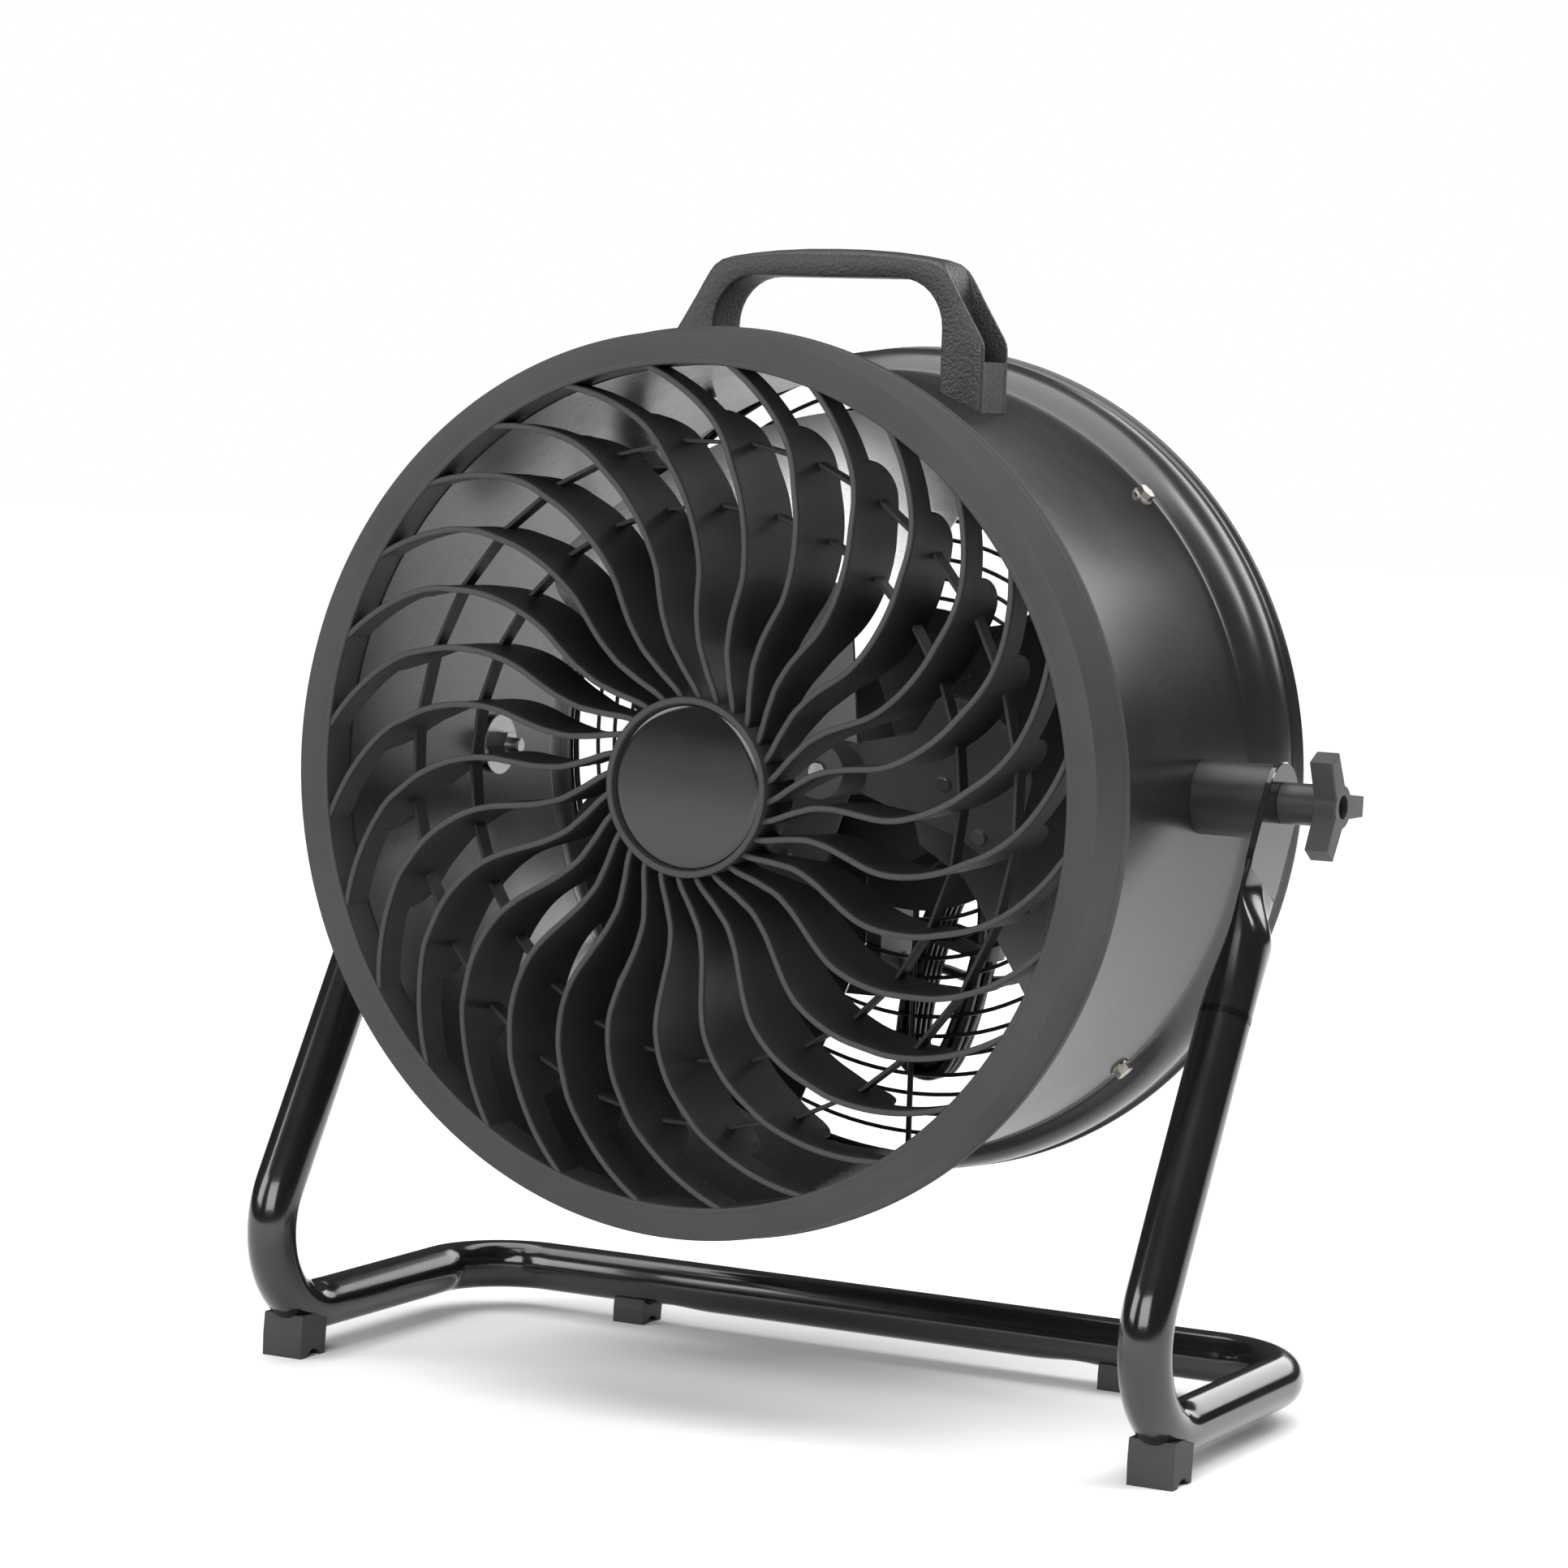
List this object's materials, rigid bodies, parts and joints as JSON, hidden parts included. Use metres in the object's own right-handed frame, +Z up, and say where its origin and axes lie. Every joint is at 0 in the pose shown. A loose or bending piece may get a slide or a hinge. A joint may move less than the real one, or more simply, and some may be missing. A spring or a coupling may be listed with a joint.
{
  "type": "air mover",
  "caption": "Drum-shaped axial air mover with a vaned front grille and a carrying handle, tilting between clamp knobs on a bent-tube floor stand.",
  "frame": {"origin": "on the floor under the middle of the object's box", "axes": "+Z up, the air leaves towards -Y, +X at the right of someone facing the front grille"},
  "size_m": [0.5428, 0.3104, 0.5668],
  "materials": {
    "stand_paint": "satin black powder coat",
    "foot_plastic": "moulded, matt",
    "drum_paint": "semi-gloss black paint",
    "grille_plastic": "moulded, fine grain",
    "badge_plastic": "glossy",
    "guard_paint": "black coated wire",
    "bracket_paint": "satin black paint",
    "nickel": "bright nickel plate",
    "handle_plastic": "moulded, pebble grain",
    "zinc": "zinc plate",
    "blade_metal": "mill finish, dulled",
    "spider_paint": "grey primer",
    "blackened": "black oxide",
    "ground_steel": "ground",
    "lamination": "stamped laminations",
    "motor_paint": "black paint",
    "copper": "enamelled copper",
    "spacer_plastic": "moulded",
    "knob_plastic": "moulded, slight sheen",
    "box_plastic": "moulded, textured",
    "switch_plastic": "moulded, light",
    "capacitor_case": "moulded case",
    "spindle_metal": "turned",
    "relief_plastic": "moulded",
    "cord_jacket": "matt jacket",
    "tie_plastic": "flat tie",
    "plug_plastic": "moulded"
  },
  "bodies": {
    "stand": {"stand_tube": "stand_paint", "front_foot_left": "foot_plastic", "front_foot_right": "foot_plastic", "rear_foot_left": "foot_plastic", "rear_foot_right": "foot_plastic"},
    "head": {"drum": "drum_paint", "front_grille": "grille_plastic", "hub_badge": "badge_plastic", "rear_guard": "guard_paint", "motor_bracket": "bracket_paint", "drum_screws": "nickel", "handle": "handle_plastic", "handle_screws": "zinc", "motor_front_cover": "motor_paint", "motor_rear_cover": "motor_paint", "stator_core": "lamination", "stator_windings": "copper", "front_bearing": "ground_steel", "rear_bearing": "ground_steel", "motor_bolts": "zinc", "motor_mount_screws": "zinc", "pivot_spacer_left": "spacer_plastic", "pivot_spacer_right": "spacer_plastic", "pivot_washer_left": "zinc", "pivot_washer_right": "zinc", "pivot_nut_left": "zinc", "pivot_nut_right": "zinc", "switch_box": "box_plastic", "switch_cover": "box_plastic", "cover_screws": "zinc", "box_mount_screws": "zinc", "rotary_switch": "switch_plastic", "capacitor": "capacitor_case", "strain_relief": "relief_plastic", "power_cord": "cord_jacket", "cord_hank": "cord_jacket", "cord_tie": "tie_plastic", "power_plug": "plug_plastic"},
    "fan": {"rotor_shaft": "ground_steel", "rotor_core": "lamination", "fan_hub": "spider_paint", "fan_blade_1": "blade_metal", "fan_blade_2": "blade_metal", "fan_blade_3": "blade_metal", "blade_rivets": "zinc", "hub_set_screw": "blackened"},
    "clamp_left": {"clamp_knob_left": "knob_plastic", "knob_stud_left": "zinc"},
    "clamp_right": {"clamp_knob_right": "knob_plastic", "knob_stud_right": "zinc"},
    "speed_dial": {"speed_knob": "knob_plastic", "switch_spindle": "spindle_metal"}
  },
  "joints": [
    {"name": "head_tilt", "type": "hinge", "parent": "stand", "child": "head", "pos_m": [0, 0.00325, 0.308], "axis": [1, 0, 0], "range_deg": [-180, 180]},
    {"name": "fan_spin", "type": "hinge", "parent": "head", "child": "fan", "pos_m": [0, 0.00325, 0.308], "axis": [0, 1, 0], "continuous": true},
    {"name": "clamp_left_turn", "type": "hinge", "parent": "head", "child": "clamp_left", "pos_m": [-0.25, 0.00325, 0.308], "axis": [1, 0, 0], "range_deg": [0, 360]},
    {"name": "clamp_right_turn", "type": "hinge", "parent": "head", "child": "clamp_right", "pos_m": [0.25, 0.00325, 0.308], "axis": [1, 0, 0], "range_deg": [0, 360]},
    {"name": "speed_turn", "type": "hinge", "parent": "head", "child": "speed_dial", "pos_m": [-0.047, 0.15025, 0.19], "axis": [0, 1, 0], "range_deg": [0, 135]}
  ]
}
